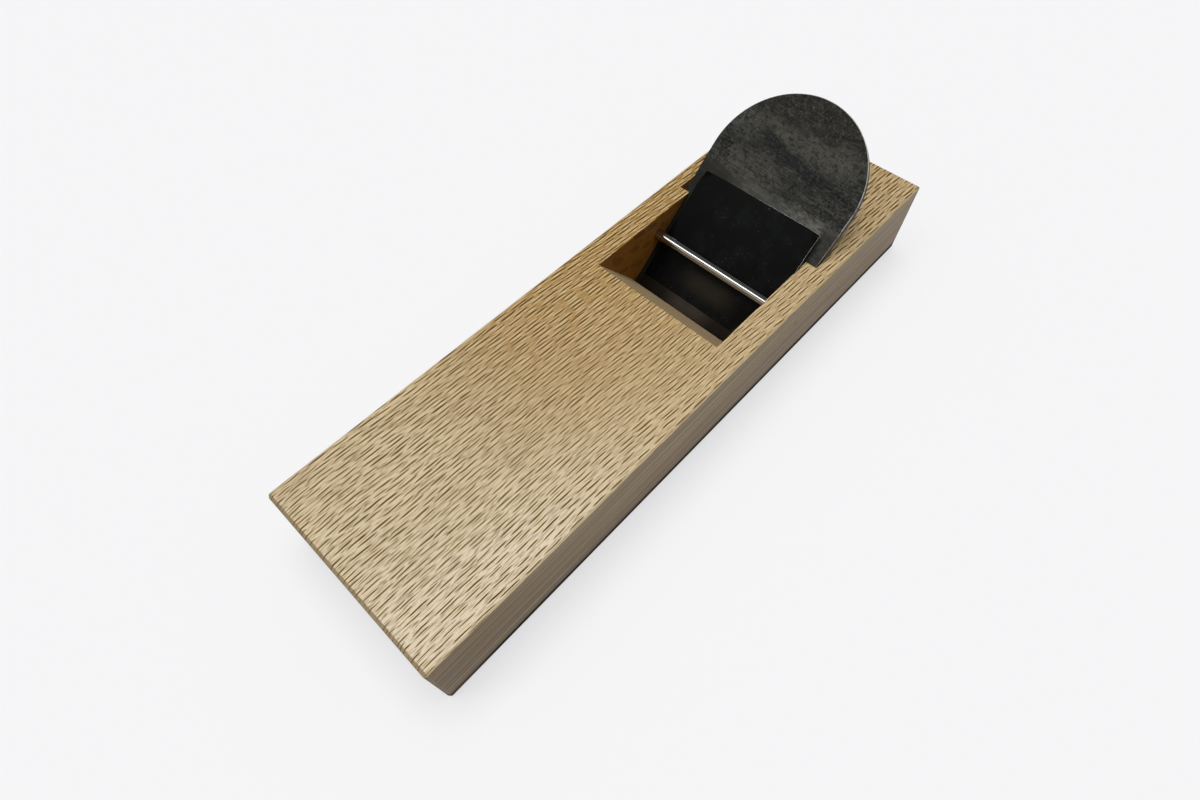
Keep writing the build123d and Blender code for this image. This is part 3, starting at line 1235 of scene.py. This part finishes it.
@dataclass
class Studio:
    """Pale sweep, two soft lamps, dim sky and the camera."""

    sweep_radius: float = 2.4
    sweep_height: float = 1.5
    sweep_curve: float = 0.5
    sweep_steps: int = 12
    sweep_sides: int = 96
    floor_drop: float = 0.00015
    seen: Colour = (0.38, 0.38, 0.38, 1.0)
    glow: Colour = (0.562, 0.562, 0.575, 1.0)
    unlit: Colour = (0.0, 0.0, 0.0, 1.0)
    bounce: Colour = (0.30, 0.295, 0.285, 1.0)
    sky: Colour = (0.285, 0.285, 0.285, 1.0)
    mirrored_sky: Colour = (0.09, 0.091, 0.095, 1.0)
    lamp_power: float = 0.62 * math.pi
    lamp_angle: float = 0.75
    lamp_from: Vector = Vector((-0.08, -0.05, 0.99))
    key_power: float = 0.10 * math.pi
    key_angle: float = 0.38
    key_from: Vector = Vector((0.49, -0.36, 0.79))
    eye: Vector = Vector((125.51, 104.55, 242.93))
    right: Vector = Vector((-0.6878, 0.7256, -0.0205))
    upward: Vector = Vector((-0.6257, -0.5783, 0.5235))
    lens: float = 20.291
    sensor: float = 36.0
    nearest: float = 0.01

    def floor_finish(self) -> bpy.types.Material:
        """A matt floor, pale to the eye and to reflections, calmer in the light it throws back.

        Returns:
            The material.
        """
        shader = Shader(bpy.data.materials.new("pale_sweep"))
        ray = shader.node("ShaderNodeLightPath", output="Is Camera Ray")
        seen = ray.highest(ray.other("Is Glossy Ray")).highest(ray.other("Is Transmission Ray"))
        colour = shader.blend(seen, self.bounce, self.seen)
        matt = shader.node("ShaderNodeBsdfDiffuse", None, {"Color": colour})
        shine = shader.blend(seen, self.unlit, self.glow)
        glow = shader.node("ShaderNodeEmission", None, {"Color": shine, "Strength": 1.0})
        both = shader.node("ShaderNodeAddShader", None, {0: matt, 1: glow})
        shader.node("ShaderNodeOutputMaterial", None, {"Surface": both})
        return shader.holder

    def rings(self) -> List[Pair]:
        """The sweep's rings, from the floor's rim up the wall.

        Returns:
            The radius and height of each ring.
        """
        rings = []
        for count in range(self.sweep_steps):
            turn = math.pi / 2 * (count + 1) / self.sweep_steps
            radius = self.sweep_radius + self.sweep_curve * math.sin(turn)
            rings.append((radius, self.sweep_curve * (1.0 - math.cos(turn))))
        rings.append((self.sweep_radius + self.sweep_curve, self.sweep_height))
        return rings

    def floor(self) -> None:
        """Makes the floor and the wall that rises from it in one sweep."""
        mesh = bmesh.new()
        bmesh.ops.create_circle(
            mesh, cap_ends=True, radius=self.sweep_radius, segments=self.sweep_sides
        )
        rim = [e for e in mesh.edges if e.is_boundary]
        last = (self.sweep_radius, 0.0)
        for radius, height in self.rings():
            made = bmesh.ops.extrude_edge_only(mesh, edges=rim)["geom"]
            verts = [g for g in made if isinstance(g, bmesh.types.BMVert)]
            rim = [g for g in made if isinstance(g, bmesh.types.BMEdge) and g.is_boundary]
            grow = radius / last[0]
            bmesh.ops.scale(mesh, vec=Vector((grow, grow, 1.0)), verts=verts)
            bmesh.ops.translate(mesh, vec=Vector((0.0, 0.0, height - last[1])), verts=verts)
            last = (radius, height)
        bmesh.ops.recalc_face_normals(mesh, faces=mesh.faces[:])
        bmesh.ops.translate(mesh, vec=Vector((0.0, 0.0, -self.floor_drop)), verts=mesh.verts[:])
        data = bpy.data.meshes.new("pale_sweep")
        for face in mesh.faces:
            face.smooth = len(face.verts) == 4
        mesh.to_mesh(data)
        mesh.free()
        data.materials.append(self.floor_finish())
        made = bpy.data.objects.new("pale_sweep", data)
        bpy.context.scene.collection.objects.link(made)

    @staticmethod
    def lamp(name: str, power: float, angle: float, source: Vector) -> bpy.types.Object:
        """Hangs one lamp.

        Args:
            name: the lamp's name.
            power: its strength.
            angle: how wide it looks from the object, in radians.
            source: the way to it.

        Returns:
            The lamp.
        """
        lamp = bpy.data.lights.new(name, "SUN")
        lamp.energy = power
        lamp.angle = angle
        made = bpy.data.objects.new(name, lamp)
        made.rotation_mode = "QUATERNION"
        made.rotation_quaternion = source.to_track_quat("Z", "Y")
        bpy.context.scene.collection.objects.link(made)
        return made

    def light(self) -> None:
        """Hangs the lamps and sets the sky. Only the key lamp shows in polished metal."""
        overhead = self.lamp("overhead", self.lamp_power, self.lamp_angle, self.lamp_from)
        overhead.visible_glossy = False
        self.lamp("key", self.key_power, self.key_angle, self.key_from)
        shader = Shader(bpy.data.worlds.new("dim_sky"))
        mirrored = shader.node("ShaderNodeLightPath", output="Is Glossy Ray")
        colour = shader.blend(mirrored, self.sky, self.mirrored_sky)
        back = shader.node("ShaderNodeBackground", None, {"Color": colour, "Strength": 1.0})
        shader.node("ShaderNodeOutputWorld", None, {"Surface": back})
        bpy.context.scene.world = shader.holder

    def camera(self) -> None:
        """Sets the camera where the photograph was taken from."""
        lens = bpy.data.cameras.new("viewer")
        lens.sensor_width = self.sensor
        lens.lens = self.lens
        lens.clip_start = self.nearest
        made = bpy.data.objects.new("viewer", lens)
        right = self.right.normalized()
        back = right.cross(self.upward).normalized()
        turn = Matrix((right, back.cross(right), back)).transposed().to_4x4()
        made.matrix_world = Matrix.Translation(self.eye * MM) @ turn
        bpy.context.scene.collection.objects.link(made)
        bpy.context.scene.camera = made

    def build(self) -> None:
        """Builds the studio."""
        self.floor()
        self.light()
        self.camera()
        bpy.context.scene.view_settings.view_transform = "Standard"


def main() -> None:
    """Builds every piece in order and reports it."""
    logging.basicConfig(level=logging.INFO, format="%(message)s")
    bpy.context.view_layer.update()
    for assembly in (OakBlock(), CrossPin(), Blade(), ChipBreaker()):
        for made in assembly.build():
            LOG.info("%s: %d faces", made.name, len(made.data.polygons))
    Studio().build()


if __name__ == "__main__":
    main()
